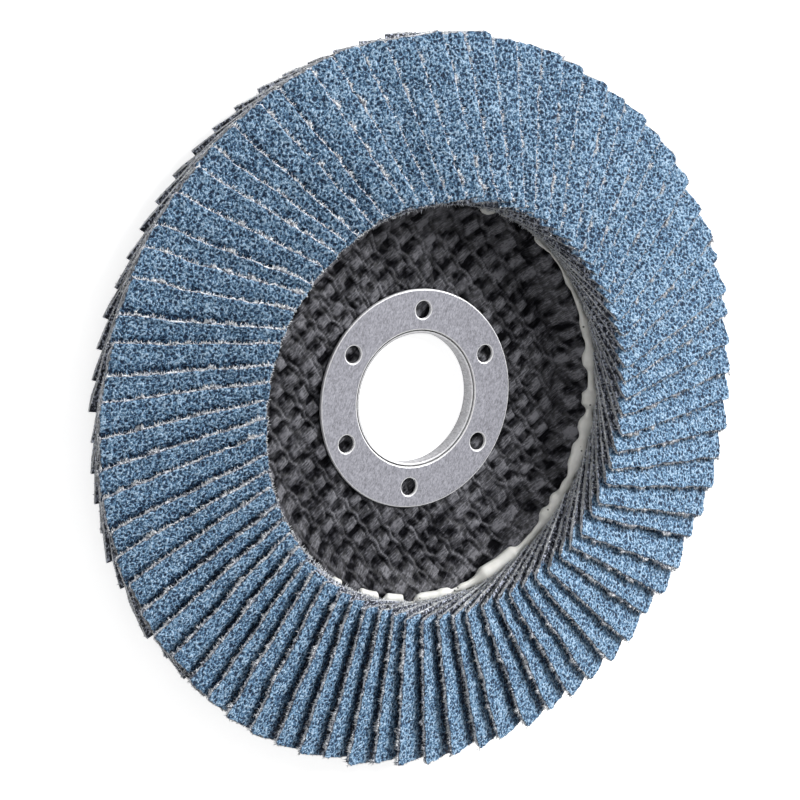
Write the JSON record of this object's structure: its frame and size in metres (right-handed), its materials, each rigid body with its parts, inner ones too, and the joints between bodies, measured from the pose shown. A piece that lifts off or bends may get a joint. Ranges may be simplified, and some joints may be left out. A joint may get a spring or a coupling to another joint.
{
  "type": "flap disc",
  "caption": "Conical flap disc for an angle grinder: overlapping blue abrasive flaps bonded to a black woven backing plate with a steel-lined bore.",
  "frame": {"origin": "on the axis of the bore, level with the back of the collar's flange", "axes": "+Z along the axis towards the abrasive face; +X through the first of the six small washer holes; the disc lies on its back"},
  "size_m": [0.1252, 0.1252, 0.0136],
  "materials": {
    "abrasive_cloth": "matte",
    "black_resin": "matte",
    "plated_steel": "satin",
    "collar_steel": "satin",
    "adhesive": "matte"
  },
  "bodies": {
    "root": {"adhesive_ring": "adhesive", "backing_plate": "black_resin", "bore_collar": "collar_steel", "flap_pair_01": "abrasive_cloth", "flap_pair_02": "abrasive_cloth", "flap_pair_03": "abrasive_cloth", "flap_pair_04": "abrasive_cloth", "flap_pair_05": "abrasive_cloth", "flap_pair_06": "abrasive_cloth", "flap_pair_07": "abrasive_cloth", "flap_pair_08": "abrasive_cloth", "flap_pair_09": "abrasive_cloth", "flap_pair_10": "abrasive_cloth", "flap_pair_11": "abrasive_cloth", "flap_pair_12": "abrasive_cloth", "flap_pair_13": "abrasive_cloth", "flap_pair_14": "abrasive_cloth", "flap_pair_15": "abrasive_cloth", "flap_pair_16": "abrasive_cloth", "flap_pair_17": "abrasive_cloth", "flap_pair_18": "abrasive_cloth", "flap_pair_19": "abrasive_cloth", "flap_pair_20": "abrasive_cloth", "flap_pair_21": "abrasive_cloth", "flap_pair_22": "abrasive_cloth", "flap_pair_23": "abrasive_cloth", "flap_pair_24": "abrasive_cloth", "flap_pair_25": "abrasive_cloth", "flap_pair_26": "abrasive_cloth", "flap_pair_27": "abrasive_cloth", "flap_pair_28": "abrasive_cloth", "flap_pair_29": "abrasive_cloth", "flap_pair_30": "abrasive_cloth", "flap_pair_31": "abrasive_cloth", "flap_pair_32": "abrasive_cloth", "flap_pair_33": "abrasive_cloth", "flap_pair_34": "abrasive_cloth", "flap_pair_35": "abrasive_cloth", "flap_pair_36": "abrasive_cloth", "flap_pair_37": "abrasive_cloth", "flap_pair_38": "abrasive_cloth", "front_washer": "plated_steel"}
  },
  "joints": []
}
